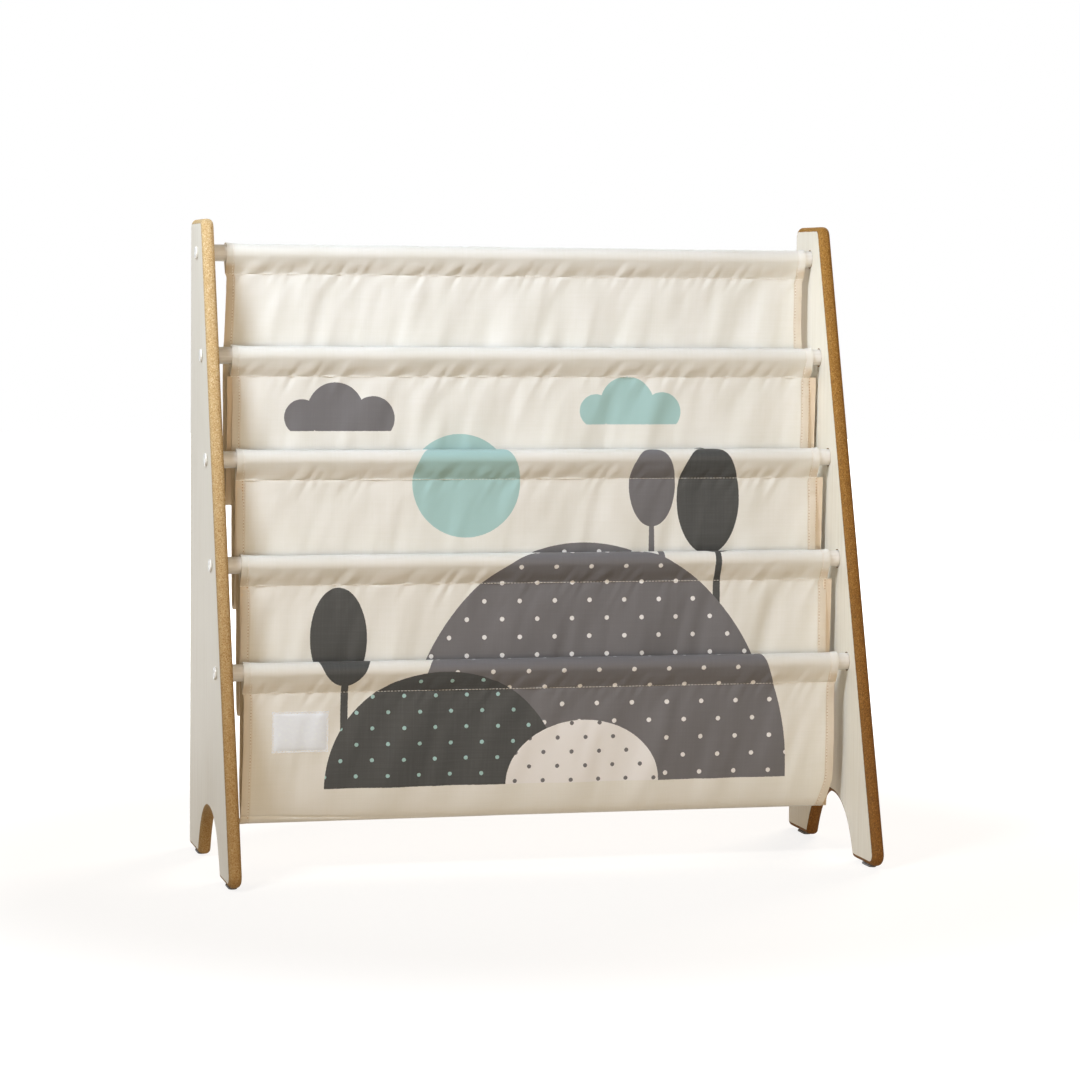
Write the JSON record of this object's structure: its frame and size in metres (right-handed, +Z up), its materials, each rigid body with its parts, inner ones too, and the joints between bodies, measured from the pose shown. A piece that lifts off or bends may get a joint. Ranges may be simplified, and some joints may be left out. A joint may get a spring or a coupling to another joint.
{
  "type": "sling bookshelf",
  "caption": "Low children's bookshelf: two arched side panels joined by round rods that carry a canvas sling with stepped book pockets.",
  "frame": {"origin": "on the floor under the middle of the bookshelf's box", "axes": "+X to the right as seen from the front, -Y out of the front, +Z up"},
  "size_m": [0.6222, 0.2559, 0.6023],
  "materials": {
    "painted_board": "MDF, warm white painted faces, bare rounded edges",
    "painted_rod": "turned dowel, warm white satin paint",
    "bolt_enamel": "white enamelled steel, satin",
    "insert_steel": "zinc plated",
    "glide_felt": "pressed grey felt",
    "sling_canvas": "plain woven polyester canvas, cream, matt, with a printed design",
    "woven_label": "woven white tape, matt, plain"
  },
  "bodies": {
    "root": {"left_side_panel": "painted_board", "left_front_glide": "glide_felt", "left_rear_glide": "glide_felt", "right_side_panel": "painted_board", "right_front_glide": "glide_felt", "right_rear_glide": "glide_felt", "left_bolt_1": "bolt_enamel", "left_bolt_2": "bolt_enamel", "left_bolt_3": "bolt_enamel", "left_bolt_4": "bolt_enamel", "left_bolt_5": "bolt_enamel", "left_insert_1": "insert_steel", "left_insert_2": "insert_steel", "left_insert_3": "insert_steel", "left_insert_4": "insert_steel", "left_insert_5": "insert_steel", "right_bolt_1": "bolt_enamel", "right_bolt_2": "bolt_enamel", "right_bolt_3": "bolt_enamel", "right_bolt_4": "bolt_enamel", "right_bolt_5": "bolt_enamel", "right_insert_1": "insert_steel", "right_insert_2": "insert_steel", "right_insert_3": "insert_steel", "right_insert_4": "insert_steel", "right_insert_5": "insert_steel", "rod_1": "painted_rod", "rod_2": "painted_rod", "rod_3": "painted_rod", "rod_4": "painted_rod", "rod_5": "painted_rod", "sling_sleeve_1": "sling_canvas", "sling_sleeve_2": "sling_canvas", "sling_sleeve_3": "sling_canvas", "sling_sleeve_4": "sling_canvas", "sling_sleeve_5": "sling_canvas", "pocket_back_1": "sling_canvas", "pocket_front_1": "sling_canvas", "pocket_back_2": "sling_canvas", "pocket_front_2": "sling_canvas", "pocket_back_3": "sling_canvas", "pocket_front_3": "sling_canvas", "pocket_back_4": "sling_canvas", "pocket_front_4": "sling_canvas", "label_patch": "woven_label"}
  },
  "joints": []
}
